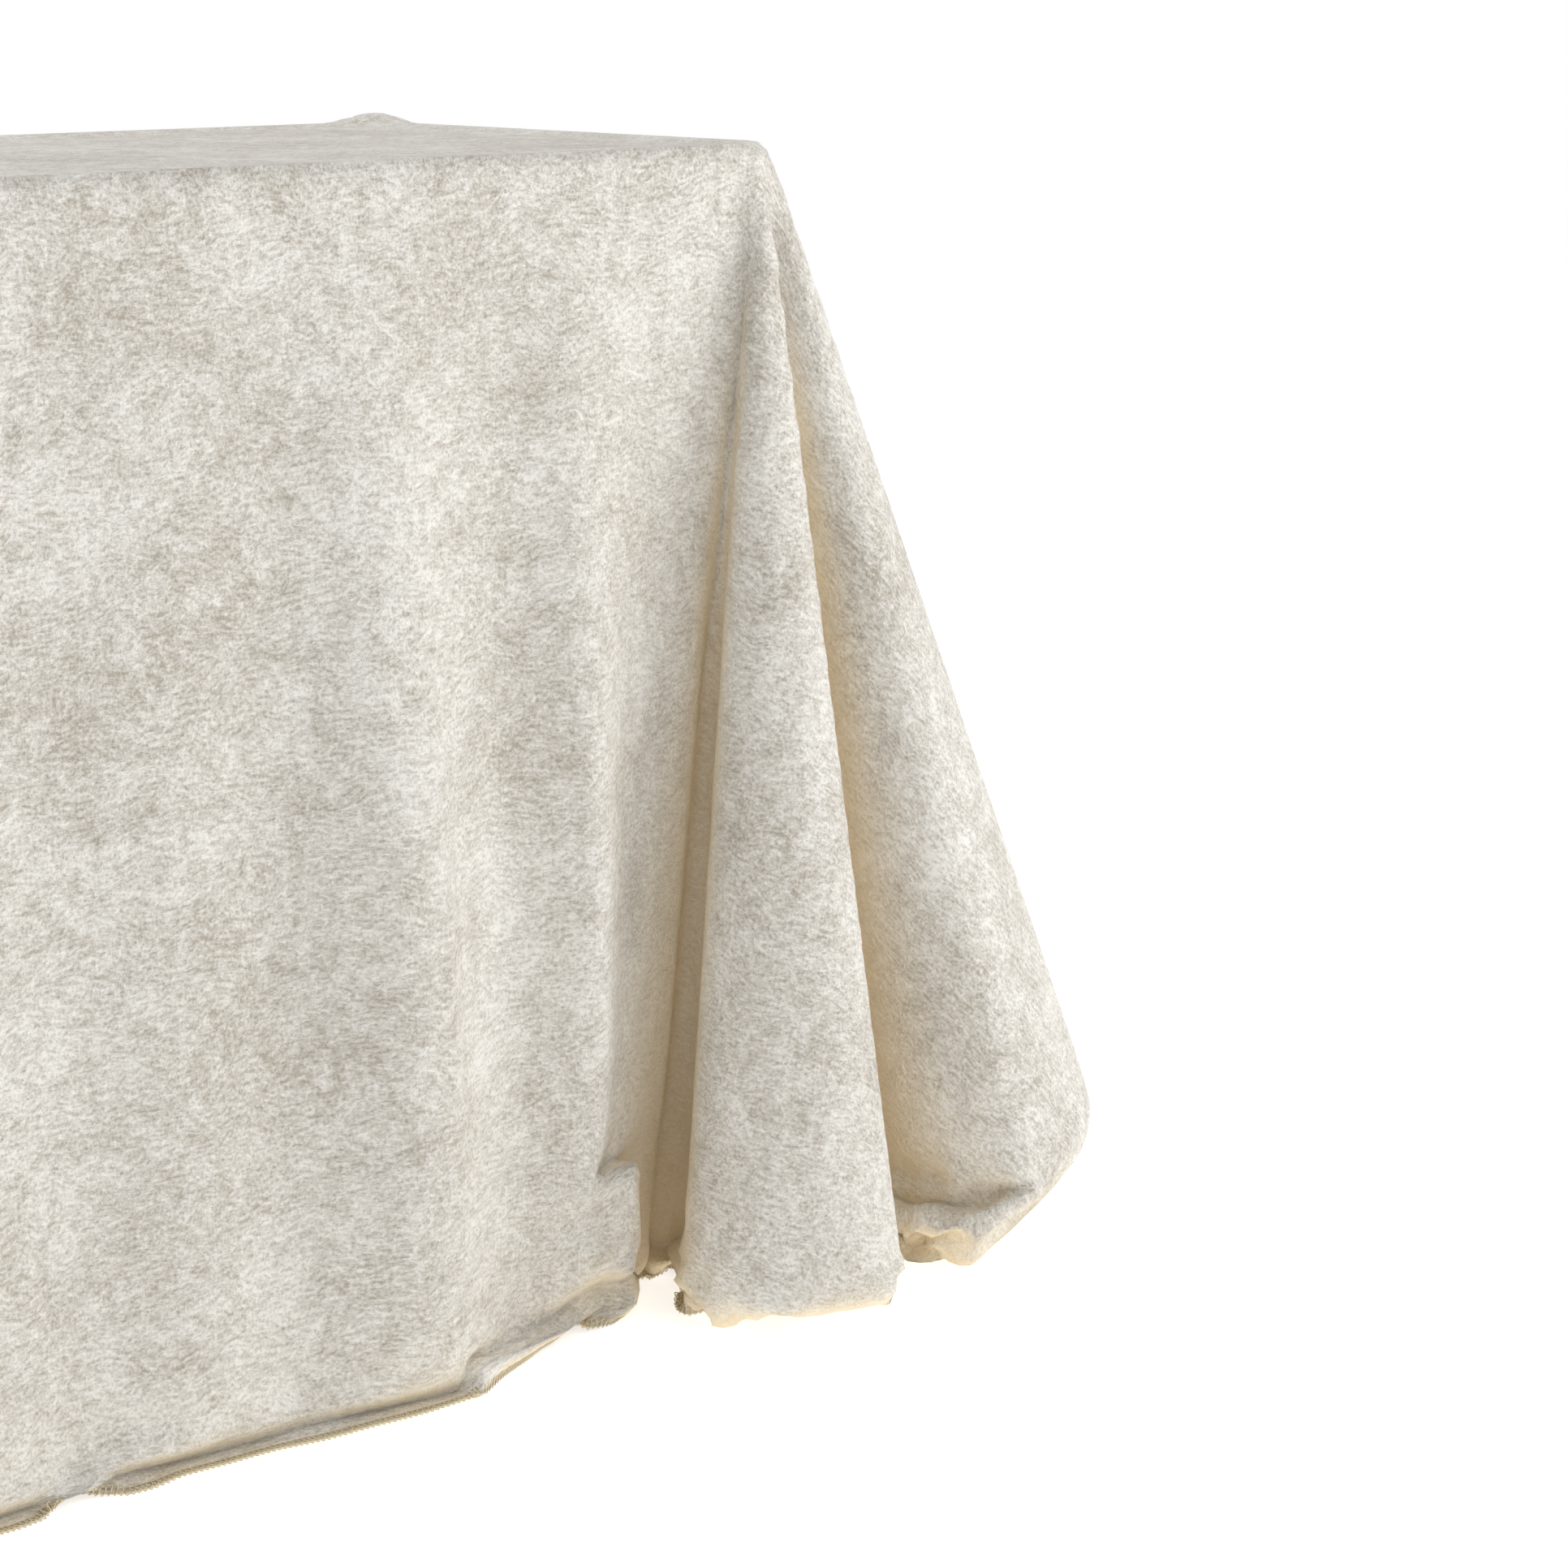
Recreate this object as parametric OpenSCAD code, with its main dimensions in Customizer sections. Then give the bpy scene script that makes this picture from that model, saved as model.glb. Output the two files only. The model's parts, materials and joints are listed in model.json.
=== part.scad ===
// Floor-length tablecloth over a folding seminar table.
// Origin on the floor under the middle of the table, +X along the long side, +Z up.

/* [Table] */
// Length of the table top
top_l = 1829; // [1500:1:2440]
// Depth of the table top
top_w = 457; // [440:1:762]
// Height of the bare table
table_h = 743; // [720:1:762]
// Corner radius of the table top
corner_r = 30; // [15:1:60]
// Thickness of the plywood board
board_t = 18; // [15:0.5:25]
// Thickness of the laminate skin
laminate_t = 1; // [0.8:0.1:2]
// Thickness of the edge moulding
edge_t = 2; // [1.5:0.5:4]

/* [Legs] */
// Outer diameter of a leg tube
leg_d = 25.4; // [22:0.1:28]
// Wall of every steel tube
tube_wall = 1.5; // [1:0.1:2]
// Distance from the end of the top to the leg hinge
leg_inset = 150; // [130:1:200]
// Distance from the side of the top to the leg axis
leg_side = 45; // [42:1:60]
// Depth of the leg hinge below the board
hinge_drop = 22; // [20:1:30]
// Height of the lower crossbar
crossbar_z = 150; // [100:1:250]
// Fold of the leg frames
leg_fold = 0; // [0:1:90]

/* [Braces] */
// Distance from the leg hinge to the brace anchor
anchor_run = 320; // [300:1:340]
// Distance from the leg hinge down to the brace rivet
rivet_drop = 260; // [240:1:280]
// Thickness of a brace link
link_t = 4; // [3:0.5:5]
// Width of a brace link
link_w = 20; // [16:1:24]
// Diameter of a brace rivet
rivet_d = 8; // [6:0.5:10]

/* [Tablecloth] */
// Thickness of the cloth solid
cloth_t = 3; // [2:0.5:5]
// Gap between the edge moulding and the hanging cloth
cloth_gap = 2; // [1:0.5:6]
// How far the hem of a flat panel stands out from the table
panel_flare = 28; // [10:1:50]
// Reach of the broad fold at each corner, along the table
broad_reach = 270; // [150:1:300]
// Reach of the narrow fold at each corner, across the table
narrow_reach = 175; // [80:1:200]
// Reach of the valley between the two folds
valley_reach = 95; // [60:1:120]
// Depth of the soft waves in the hem
wave_depth = 8; // [0:1:15]
// Height of the overlock stitching
overlock_h = 5; // [3:0.5:8]
// Thickness of the overlock stitching
overlock_t = 1; // [0.6:0.1:2]

/* [Hidden] */
$fn = 48;
running_gap = 0.05;
eps = 0.01;

board_z = table_h - laminate_t - board_t;
hinge_x = top_l / 2 - leg_inset;
hinge_z = board_z - hinge_drop;
leg_y = top_w / 2 - leg_side;
hinge_tube_d = 22;
crossbar_d = 19;
cap_d = 31;
cap_h = 28;
cap_floor = 4;
cap_clear = 0.1;
leg_top_drop = 4;
leg_clear = 3.3;
link_gap = 1;
rail_gap = 8;

// Brace links: straight when the leg stands, folded on each other when it lies flat.
anchor_x = hinge_x - anchor_run;
brace_run = sqrt(anchor_run * anchor_run + rivet_drop * rivet_drop);
upper_len = (brace_run + anchor_run - rivet_drop) / 2;
lower_len = brace_run - upper_len;
brace_angle = atan2(rivet_drop, anchor_run);
lower_link_y = leg_y - leg_d / 2 - leg_clear - link_t / 2;
upper_link_y = lower_link_y - link_t - link_gap;
knee_rod_d = 9;
upper_turn = brace_angle * leg_fold / 90;
lower_turn = (90 - brace_angle) * leg_fold / 90;

bracket_t = 4;
bracket_from_link = 22;
bracket_y = upper_link_y - bracket_from_link;
bracket_l = 60;
bracket_w = 34;
plate_t = 2.5;
anchor_y = upper_link_y - link_t / 2 - link_gap - bracket_t / 2;
anchor_ear_l = 24;
hinge_ear_l = hinge_tube_d + 12;
bracket_screw_inset = 10;
screw_d = 5;
screw_head_d = 10;
screw_head_h = 2.5;
screw_len = 12;
rivet_head_h = 2;
rivet_head_over = 5;
rivet_tail = 0.5;
leg_rivet_l = 10;
leg_rivet_tail = 0.4;
leg_rivet_head_h = 2.5;
leg_rivet_head_over = 6;
leg_rivet_head_inset = 1.7;

rail_w = 15;
rail_h = 25;
rail_wall = 1.5;
rail_end_gap = 20;
rail_l = 2 * (hinge_x - rail_end_gap);
rail_y = top_w / 2 - edge_t - rail_gap - rail_w / 2;
rail_screw_count = 7;
rail_screw_inset = 40;

// ---- shared shapes ----

module rounded_plate(l, w, r, t) {
    linear_extrude(height = t)
        rounded_outline(l, w, r);
}

module rounded_outline(l, w, r) {
    square([l - 2 * r, w], center = true);
    square([l, w - 2 * r], center = true);
    for (sx = [-1, 1], sy = [-1, 1])
        translate([sx * (l / 2 - r), sy * (w / 2 - r)])
            circle(r = r);
}

module cross_cylinder(d, l) {
    rotate([90, 0, 0])
        cylinder(d = d, h = l, center = true);
}

module cross_tube(d, l) {
    difference() {
        cross_cylinder(d, l);
        cross_cylinder(d - 2 * tube_wall, l + 2);
    }
}

// Turns a leg frame about its hinge; side is 1 at the right end and -1 at the left end.
module fold_leg(side) {
    translate([side * hinge_x, 0, hinge_z])
        rotate([0, side * leg_fold, 0])
            translate([-side * hinge_x, 0, -hinge_z])
                children();
}

module fold_upper_link(side) {
    translate([side * anchor_x, 0, hinge_z])
        rotate([0, -side * upper_turn, 0])
            translate([-side * anchor_x, 0, -hinge_z])
                children();
}

module fold_lower_link(side) {
    fold_leg(side)
        translate([side * hinge_x, 0, hinge_z - rivet_drop])
            rotate([0, side * lower_turn, 0])
                translate([-side * hinge_x, 0, rivet_drop - hinge_z])
                    children();
}

// ---- table top ----

module table_board() {
    color("burlywood")
        translate([0, 0, board_z])
            rounded_plate(top_l - 2 * edge_t, top_w - 2 * edge_t, corner_r - edge_t, board_t);
}

module top_laminate() {
    color("gainsboro")
        translate([0, 0, table_h - laminate_t])
            rounded_plate(top_l - 2 * edge_t, top_w - 2 * edge_t, corner_r - edge_t, laminate_t);
}

module edge_moulding() {
    color("dimgray")
        difference() {
            translate([0, 0, board_z])
                rounded_plate(top_l, top_w, corner_r, board_t + laminate_t);
            translate([0, 0, board_z - 1])
                rounded_plate(top_l - 2 * edge_t, top_w - 2 * edge_t, corner_r - edge_t,
                    board_t + laminate_t + 2);
        }
}

// Steel channel, open downward, screwed under the board.
module rail(y) {
    color("slategray")
        translate([0, y, board_z - rail_h / 2])
            difference() {
                cube([rail_l, rail_w, rail_h], center = true);
                translate([0, 0, -rail_wall])
                    cube([rail_l + 2, rail_w - 2 * rail_wall, rail_h], center = true);
                for (x = rail_screw_places())
                    translate([x, 0, 0])
                        cylinder(d = screw_d, h = rail_h + 2);
            }
}

module front_rail() {
    rail(-rail_y);
}

module back_rail() {
    rail(rail_y);
}

// ---- hinge brackets and brace anchors ----

// Plate under the board with one ear that is bored for a pin along Y.
module ear_bracket(x, y, bore_d, ear_l, inward) {
    color("silver")
        translate([x, y, 0])
            difference() {
                union() {
                    translate([-bracket_l / 2, min(-bracket_t / 2, inward * bracket_w), board_z - plate_t])
                        cube([bracket_l, bracket_w + bracket_t / 2, plate_t]);
                    translate([-ear_l / 2, -bracket_t / 2, hinge_z])
                        cube([ear_l, bracket_t, board_z - plate_t - hinge_z + eps]);
                    translate([0, 0, hinge_z])
                        cross_cylinder(ear_l, bracket_t);
                }
                translate([0, 0, hinge_z])
                    cross_cylinder(bore_d, bracket_t + 2);
                for (sx = [-1, 1])
                    translate([sx * bracket_screw_x(), inward * bracket_w / 2, board_z - plate_t - 1])
                        cylinder(d = screw_d, h = plate_t + 2);
            }
}

function bracket_screw_x() = bracket_l / 2 - bracket_screw_inset;

module hinge_bracket(side, y_side) {
    ear_bracket(side * hinge_x, y_side * bracket_y, hinge_tube_d + 2 * running_gap,
        hinge_ear_l, -y_side);
}

module brace_anchor(side, y_side) {
    ear_bracket(side * anchor_x, y_side * anchor_y, rivet_d, anchor_ear_l, -y_side);
}

// Rivets through the anchor ears, that carry the upper links.
module anchor_rivets() {
    shank_l = bracket_t + link_gap + link_t + rivet_tail;
    color("silver")
        for (side = [-1, 1], y_side = [-1, 1])
            translate([side * anchor_x, y_side * (anchor_y - bracket_t / 2 + shank_l / 2), hinge_z]) {
                cross_cylinder(rivet_d, shank_l);
                for (end = [-1, 1])
                    translate([0, end * (shank_l + rivet_head_h) / 2, 0])
                        cross_cylinder(rivet_d + rivet_head_over, rivet_head_h);
            }
}

module left_front_hinge_bracket() { hinge_bracket(-1, -1); }
module left_back_hinge_bracket() { hinge_bracket(-1, 1); }
module right_front_hinge_bracket() { hinge_bracket(1, -1); }
module right_back_hinge_bracket() { hinge_bracket(1, 1); }
module left_front_brace_anchor() { brace_anchor(-1, -1); }
module left_back_brace_anchor() { brace_anchor(-1, 1); }
module right_front_brace_anchor() { brace_anchor(1, -1); }
module right_back_brace_anchor() { brace_anchor(1, 1); }

// Screw driven upward: head below the plate, shank in the board.
module screw(z) {
    translate([0, 0, z - screw_head_h])
        cylinder(d = screw_head_d, h = screw_head_h);
    translate([0, 0, z - eps])
        cylinder(d = screw_d, h = screw_len);
}

module bracket_screws() {
    color("gray")
        for (side = [-1, 1], y_side = [-1, 1], sx = [-1, 1]) {
            translate([side * hinge_x + sx * bracket_screw_x(),
                    y_side * (bracket_y - bracket_w / 2), 0])
                screw(board_z - plate_t);
            translate([side * anchor_x + sx * bracket_screw_x(),
                    y_side * (anchor_y - bracket_w / 2), 0])
                screw(board_z - plate_t);
        }
}

function rail_screw_places() =
    [for (i = [0 : rail_screw_count - 1]) (i / (rail_screw_count - 1) - 0.5) * (rail_l - 2 * rail_screw_inset)];

module rail_screws() {
    color("gray")
        for (y_side = [-1, 1], x = rail_screw_places())
            translate([x, y_side * rail_y, 0])
                screw(board_z - rail_wall);
}

// ---- leg frames ----

module leg(side, y_side) {
    color("slategray")
        fold_leg(side)
            translate([side * hinge_x, y_side * leg_y, cap_floor])
                difference() {
                    cylinder(d = leg_d, h = hinge_z + leg_d / 2 - cap_floor - leg_top_drop);
                    translate([0, 0, -1])
                        cylinder(d = leg_d - 2 * tube_wall, h = hinge_z + leg_d / 2 - cap_floor - leg_top_drop);
                }
}

// Cross tube between the two legs, its ends cut to the round of the legs.
module frame_tube(side, d, z) {
    color("slategray")
        fold_leg(side)
            difference() {
                translate([side * hinge_x, 0, z])
                    cross_tube(d, 2 * leg_y);
                for (y_side = [-1, 1])
                    translate([side * hinge_x, y_side * leg_y, z - d])
                        cylinder(d = leg_d, h = 2 * d);
            }
}

module hinge_tube(side) {
    frame_tube(side, hinge_tube_d, hinge_z);
}

module crossbar(side) {
    frame_tube(side, crossbar_d, crossbar_z);
}

// Rivets that stand out from the inner side of the legs and carry the lower links.
module leg_rivets(side) {
    color("silver")
        fold_leg(side)
            for (y_side = [-1, 1])
                translate([side * hinge_x, y_side * rivet_mid_y(), hinge_z - rivet_drop])
                    difference() {
                        union() {
                            cross_cylinder(rivet_d, leg_rivet_l);
                            translate([0, y_side * (leg_rivet_l / 2 - leg_rivet_head_inset), 0])
                                cross_cylinder(rivet_d + leg_rivet_head_over, leg_rivet_head_h);
                        }
                        translate([0, y_side * (leg_y - rivet_mid_y()), 0])
                            cylinder(d = leg_d, h = 3 * rivet_d, center = true);
                    }
}

function rivet_mid_y() = lower_link_y - link_t / 2 - leg_rivet_tail + leg_rivet_l / 2;

module foot_caps(side) {
    color("black")
        fold_leg(side)
            for (y_side = [-1, 1])
                translate([side * hinge_x, y_side * leg_y, 0])
                    difference() {
                        cylinder(d = cap_d, h = cap_h);
                        translate([0, 0, cap_floor])
                            cylinder(d = leg_d + cap_clear, h = cap_h);
                    }
}

module left_front_leg() { leg(-1, -1); }
module left_back_leg() { leg(-1, 1); }
module left_hinge_tube() { hinge_tube(-1); }
module left_crossbar() { crossbar(-1); }
module left_leg_rivets() { leg_rivets(-1); }
module left_foot_caps() { foot_caps(-1); }
module right_front_leg() { leg(1, -1); }
module right_back_leg() { leg(1, 1); }
module right_hinge_tube() { hinge_tube(1); }
module right_crossbar() { crossbar(1); }
module right_leg_rivets() { leg_rivets(1); }
module right_foot_caps() { foot_caps(1); }

// ---- folding braces ----

// Flat bar with round ends; both ends lie on the X axis, the first at the origin.
module link_bar(l, bore_near, bore_far) {
    difference() {
        union() {
            translate([0, -link_t / 2, -link_w / 2])
                cube([l, link_t, link_w]);
            cross_cylinder(link_w, link_t);
            translate([l, 0, 0])
                cross_cylinder(link_w, link_t);
        }
        cross_cylinder(bore_near, link_t + 2);
        translate([l, 0, 0])
            cross_cylinder(bore_far, link_t + 2);
    }
}

module upper_link(side, y_side) {
    color("silver")
        fold_upper_link(side)
            translate([side * anchor_x, y_side * upper_link_y, hinge_z])
                rotate([0, 0, 90 * (1 - side)])
                    rotate([0, brace_angle, 0])
                        link_bar(upper_len, rivet_d + 2 * running_gap, knee_rod_d);
}

// The knee rod joins the two upper links, so both braces of a frame fold together.
module knee_rod(side) {
    color("silver")
        fold_upper_link(side)
            translate([side * (anchor_x + upper_len * cos(brace_angle)), 0,
                    hinge_z - upper_len * sin(brace_angle)])
                cross_cylinder(knee_rod_d, 2 * upper_link_y + link_t);
}

module lower_link(side, y_side) {
    color("silver")
        fold_lower_link(side)
            translate([side * hinge_x, y_side * lower_link_y, hinge_z - rivet_drop])
                rotate([0, 0, 90 * (1 - side)])
                    rotate([0, 180 + brace_angle, 0])
                        link_bar(lower_len, rivet_d + 2 * running_gap, rivet_d);
}

module left_front_upper_link() { upper_link(-1, -1); }
module left_back_upper_link() { upper_link(-1, 1); }
module left_knee_rod() { knee_rod(-1); }
module left_front_lower_link() { lower_link(-1, -1); }
module left_back_lower_link() { lower_link(-1, 1); }
module right_front_upper_link() { upper_link(1, -1); }
module right_back_upper_link() { upper_link(1, 1); }
module right_knee_rod() { knee_rod(1); }
module right_front_lower_link() { lower_link(1, -1); }
module right_back_lower_link() { lower_link(1, 1); }

// ---- tablecloth ----

corner_steps = 18;
long_steps = 16;
short_steps = 6;
drop_levels = 5;
half_side_waves = 3;
edge_gap = cloth_gap + cloth_t;

// Bump of height 1 in the middle and 0 at both ends of its width.
function bump(a, middle, width) =
    abs(a - middle) >= width ? 0 : pow(cos(90 * (a - middle) / width), 2);

// Reach of the cloth at a corner: a is 0 facing the long side and 90 facing the end.
narrow_at = 24;
narrow_spread = 24;
broad_at = 76;
broad_spread = 32;
valley_at = 46;
valley_spread = 16;
function corner_reach(a) =
    panel_flare
    + (narrow_reach - panel_flare) * bump(a, narrow_at, narrow_spread)
    + (broad_reach - panel_flare) * bump(a, broad_at, broad_spread)
    + (valley_reach - panel_flare) * bump(a, valley_at, valley_spread);

// Sets [x, y, nx, ny, reach] along one quarter of the outline, from the middle of
// the long side round the corner to the middle of the end, in the +X +Y quarter.
function quarter_outline() = concat(
    [for (i = [0 : long_steps / 2 - 1])
        let (x = i / (long_steps / 2) * (top_l / 2 - corner_r))
        [x, top_w / 2, 0, 1, panel_flare + wave_depth * cos(360 * half_side_waves * i / (long_steps / 2))]],
    [for (i = [0 : corner_steps])
        let (a = 90 * i / corner_steps)
        [top_l / 2 - corner_r + corner_r * sin(a), top_w / 2 - corner_r + corner_r * cos(a),
            sin(a), cos(a), corner_reach(a)]],
    [for (i = [1 : short_steps / 2])
        [top_l / 2, (top_w / 2 - corner_r) * (1 - i / (short_steps / 2)), 1, 0, panel_flare]]
);

function flip_xy(list, sx, sy) = [for (p = list) [sx * p[0], sy * p[1], sx * p[2], sy * p[3], p[4]]];

// The whole outline, clockwise from above, without a double point.
function outline_points() =
    let (q = quarter_outline(), n = len(q) - 1)
    concat(
        [for (i = [0 : n - 1]) q[i]],
        [for (i = [n : -1 : 1]) flip_xy(q, 1, -1)[i]],
        [for (i = [0 : n - 1]) flip_xy(q, -1, -1)[i]],
        [for (i = [n : -1 : 1]) flip_xy(q, -1, 1)[i]]
    );

function ring(points, inset, drop, z) =
    [for (p = points) let (o = edge_gap - inset + p[4] * drop)
        [p[0] + p[2] * o, p[1] + p[3] * o, z]];

// Skin between two rings of n points each, that start at points a and b.
function band(a, b, n) =
    [for (i = [0 : n - 1]) each [
        [a + i, b + (i + 1) % n, a + (i + 1) % n],
        [a + i, b + i, b + (i + 1) % n]
    ]];

module tablecloth() {
    points = outline_points();
    n = len(points);
    outer = [for (k = [0 : drop_levels]) let (s = k / drop_levels)
        each ring(points, 0, s, (table_h + cloth_t) * (1 - s))];
    inner = [for (k = [drop_levels : -1 : 0]) let (s = k / drop_levels)
        each ring(points, cloth_t, s, table_h * (1 - s))];
    rings = 2 * (drop_levels + 1);
    color("linen")
        polyhedron(
            points = concat(outer, inner, [[0, 0, table_h + cloth_t], [0, 0, table_h]]),
            faces = concat(
                [for (i = [0 : n - 1]) [rings * n, i, (i + 1) % n]],
                [for (k = [0 : rings - 2]) each band(k * n, (k + 1) * n, n)],
                [for (i = [0 : n - 1]) let (a = (rings - 1) * n) [rings * n + 1, a + (i + 1) % n, a + i]]
            )
        );
}

// Thread wrapped round the raw edge of the cloth, all the way along the hem.
module overlock_thread() {
    points = outline_points();
    n = len(points);
    low = 1;
    high = 1 - overlock_h / (table_h + cloth_t);
    color("tan")
        polyhedron(
            points = concat(
                ring(points, -overlock_t, high, overlock_h), ring(points, -overlock_t, low, 0),
                ring(points, 0, low, 0), ring(points, 0, high, overlock_h)),
            faces = [for (k = [0 : 3]) each band(k * n, (k + 1) % 4 * n, n)]
        );
}

table_board();
top_laminate();
edge_moulding();
front_rail();
back_rail();
left_front_hinge_bracket();
left_back_hinge_bracket();
right_front_hinge_bracket();
right_back_hinge_bracket();
left_front_brace_anchor();
left_back_brace_anchor();
right_front_brace_anchor();
right_back_brace_anchor();
anchor_rivets();
bracket_screws();
rail_screws();
left_front_leg();
left_back_leg();
left_hinge_tube();
left_crossbar();
left_leg_rivets();
left_foot_caps();
right_front_leg();
right_back_leg();
right_hinge_tube();
right_crossbar();
right_leg_rivets();
right_foot_caps();
left_front_upper_link();
left_back_upper_link();
left_knee_rod();
left_front_lower_link();
left_back_lower_link();
right_front_upper_link();
right_back_upper_link();
right_knee_rod();
right_front_lower_link();
right_back_lower_link();
tablecloth();
overlock_thread();
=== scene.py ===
"""Floor-length tablecloth of ivory crushed velvet over a folding seminar table.

Metres; the origin is on the floor under the middle of the table, +X along it, +Z up."""

import json
import math

import bpy
import numpy as np
from mathutils import Matrix, Vector


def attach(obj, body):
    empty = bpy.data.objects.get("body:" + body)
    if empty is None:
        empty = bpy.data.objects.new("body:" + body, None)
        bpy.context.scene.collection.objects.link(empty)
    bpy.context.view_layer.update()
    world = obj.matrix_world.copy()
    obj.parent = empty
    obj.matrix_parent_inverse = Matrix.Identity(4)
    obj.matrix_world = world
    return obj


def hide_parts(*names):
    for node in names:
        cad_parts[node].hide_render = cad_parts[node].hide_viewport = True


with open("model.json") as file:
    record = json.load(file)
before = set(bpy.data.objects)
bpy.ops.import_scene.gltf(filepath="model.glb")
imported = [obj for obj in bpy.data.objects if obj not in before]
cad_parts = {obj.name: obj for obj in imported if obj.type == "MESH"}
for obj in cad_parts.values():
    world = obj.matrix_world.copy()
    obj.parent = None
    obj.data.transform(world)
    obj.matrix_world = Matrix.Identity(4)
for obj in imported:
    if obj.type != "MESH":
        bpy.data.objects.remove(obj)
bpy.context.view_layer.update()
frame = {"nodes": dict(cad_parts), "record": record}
scene = bpy.context.scene

# ---- table and sheet ----
TABLE_L, TABLE_W, TABLE_H = 1.829, 0.457, 0.743
TABLE_CORNER_R = 0.030
DROP = 0.762  # from the table edge to the hem, 19 mm more than the table is high
OVER_TOP = 0.002  # the sheet lies this far above the laminate
OFF_EDGE = 0.005  # and hangs this far outside the edge moulding
THREAD_STEP, TOP_STEP = 0.016, 0.030  # mesh spacing: folds and drops, middle of the top

# Feet of the rays that fan out of a table corner, from the long side round to the end, as
# (along the table, away from the long side) for each metre of drop. Two folds stand out of it:
# a narrow one to the front and a broad one along the table.
CORNER_FOLD = [
    (-0.070, -0.060), (-0.060, -0.090), (-0.045, -0.050), (-0.090, 0.000), (-0.125, 0.050),
    (-0.110, 0.115), (-0.035, 0.155), (0.035, 0.135), (0.050, 0.070), (0.030, -0.010),
    (0.050, -0.050), (0.100, -0.020), (0.120, 0.070), (0.165, 0.150), (0.250, 0.150),
    (0.338, 0.090), (0.345, 0.000), (0.265, -0.075), (0.150, -0.060), (0.070, -0.060),
    (0.020, -0.030),
]
# Where the corner's rays stop, in metres down the cloth, from the long side (0) round to the end (1):
# below that the cloth is free to fold on the floor.
FOLD_SHARE = [0.00, 0.42, 0.55, 0.70, 0.84, 1.00]
FOLD_DOWN = [0.73, 0.72, 0.69, 0.71, 0.75, 0.76]
TUCK = 0.2  # the cloth below that starts out leaning back by this share of its length
# The hands that gather the spare cloth of a corner keep it inside this line on the floor.
GATHER_LINE = [
    (-0.150, -0.045), (-0.140, 0.030), (-0.118, 0.105), (-0.060, 0.155), (0.000, 0.180),
    (0.090, 0.182), (0.170, 0.150), (0.245, 0.115), (0.285, 0.070), (0.292, 0.000),
    (0.230, -0.075), (0.120, -0.095),
]
# The long side's hem next to a corner, as (distance from the corner, stand-out).
HEM_LINE = [
    (0.00, -0.045), (0.04, -0.034), (0.08, -0.016), (0.13, 0.008), (0.17, 0.006), (0.20, 0.006),
    (0.24, 0.030), (0.28, 0.053), (0.32, 0.042), (0.36, 0.022), (0.42, 0.030),
]
# Soft bulges of the long side above its hem, as (distance from the corner, stand-out).
BULGES = [(0.140, 0.022), (0.285, 0.018)]
# The corners, as signs of X and Y, with the phase of the soft waves next to them.
CORNERS = {(1, -1): 0.0, (1, 1): 1.3, (-1, -1): 2.2, (-1, 1): 3.9}

FALL_FRAMES = 90
FLOOR_START, FLOOR_UP = -0.34, 70  # the helper floor's first height, and the frame at which it is up
HEM_LIFT = 0.0012  # the middle of the cloth's thickness, where it lies on the floor
EDGE_GAP = 0.0035  # from the edge moulding to the middle of the cloth's thickness


def ease(t):
    """0 to 1 with soft ends."""
    t = np.clip(t, 0, 1)
    return t * t * (3 - 2 * t)


def stations(half):
    """Places of the mesh lines across the sheet, one of them on the table edge.

    They lie wide apart over the middle of the top."""
    inner = max(0.0, half - 0.30)
    middle = np.linspace(0, inner, round(inner / TOP_STEP) + 1)
    rim = np.linspace(inner, half, round((half - inner) / THREAD_STEP) + 1)
    outer = np.linspace(half, half + DROP, round(DROP / THREAD_STEP) + 1)
    line = np.concatenate([middle, rim[1:], outer[1:]])
    return np.concatenate([-line[:0:-1], line])


def smooth_line(points, per_span):
    """Points of a Catmull-Rom curve through the given ones."""
    p = np.array(points, float)
    p = np.vstack([2 * p[0] - p[1], p, 2 * p[-1] - p[-2]])
    t = (np.arange(per_span) / per_span)[:, None]
    spans = [
        0.5 * (2 * b + (c - a) * t + (2 * a - 5 * b + 4 * c - d) * t**2 + (3 * b - a - 3 * c + d) * t**3)
        for a, b, c, d in zip(p, p[1:], p[2:], p[3:])
    ]
    return np.vstack(spans + [p[-2:-1]])


def corner_rays(count=241):
    """Unit directions of the corner rays at even steps of the sheet's own angle.

    A square corner is a quarter turn of cloth, so the fold line is scaled until it is that long
    on a sphere round the table corner: then the cloth bends but doesn't stretch."""
    low, high = 0.2, 3.0
    for _ in range(40):
        scale = (low + high) / 2
        feet = smooth_line(CORNER_FOLD, 24) * scale
        rays = np.column_stack([feet, -np.ones(len(feet))])
        rays /= np.linalg.norm(rays, axis=1)[:, None]
        turn = np.arccos(np.clip(np.sum(rays[1:] * rays[:-1], axis=1), -1, 1))
        low, high = (low, scale) if turn.sum() > math.pi / 2 else (scale, high)
    travelled = np.concatenate([[0], np.cumsum(turn)])
    even = np.linspace(0, travelled[-1], count)
    return np.column_stack([np.interp(even, travelled, rays[:, k]) for k in range(3)])


def side_out(q, phase, near):
    """How far a flat side stands out at the floor, q metres from its corner.

    It follows the given line near the corner, and two soft waves, 145 and 330 mm long, further on."""
    waves = (0.024 + 0.013 * np.exp(-q / 0.70) * np.cos(2 * np.pi * q / 0.145 + phase)
             + 0.006 * np.cos(2 * np.pi * q / 0.33 + 2.1 * phase))
    line = smooth_line(near, 8)
    blend = ease((q - near[-2][0] + 0.04) / 0.10)
    return waves * blend + np.interp(q, *line.T) * (1 - blend)


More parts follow.
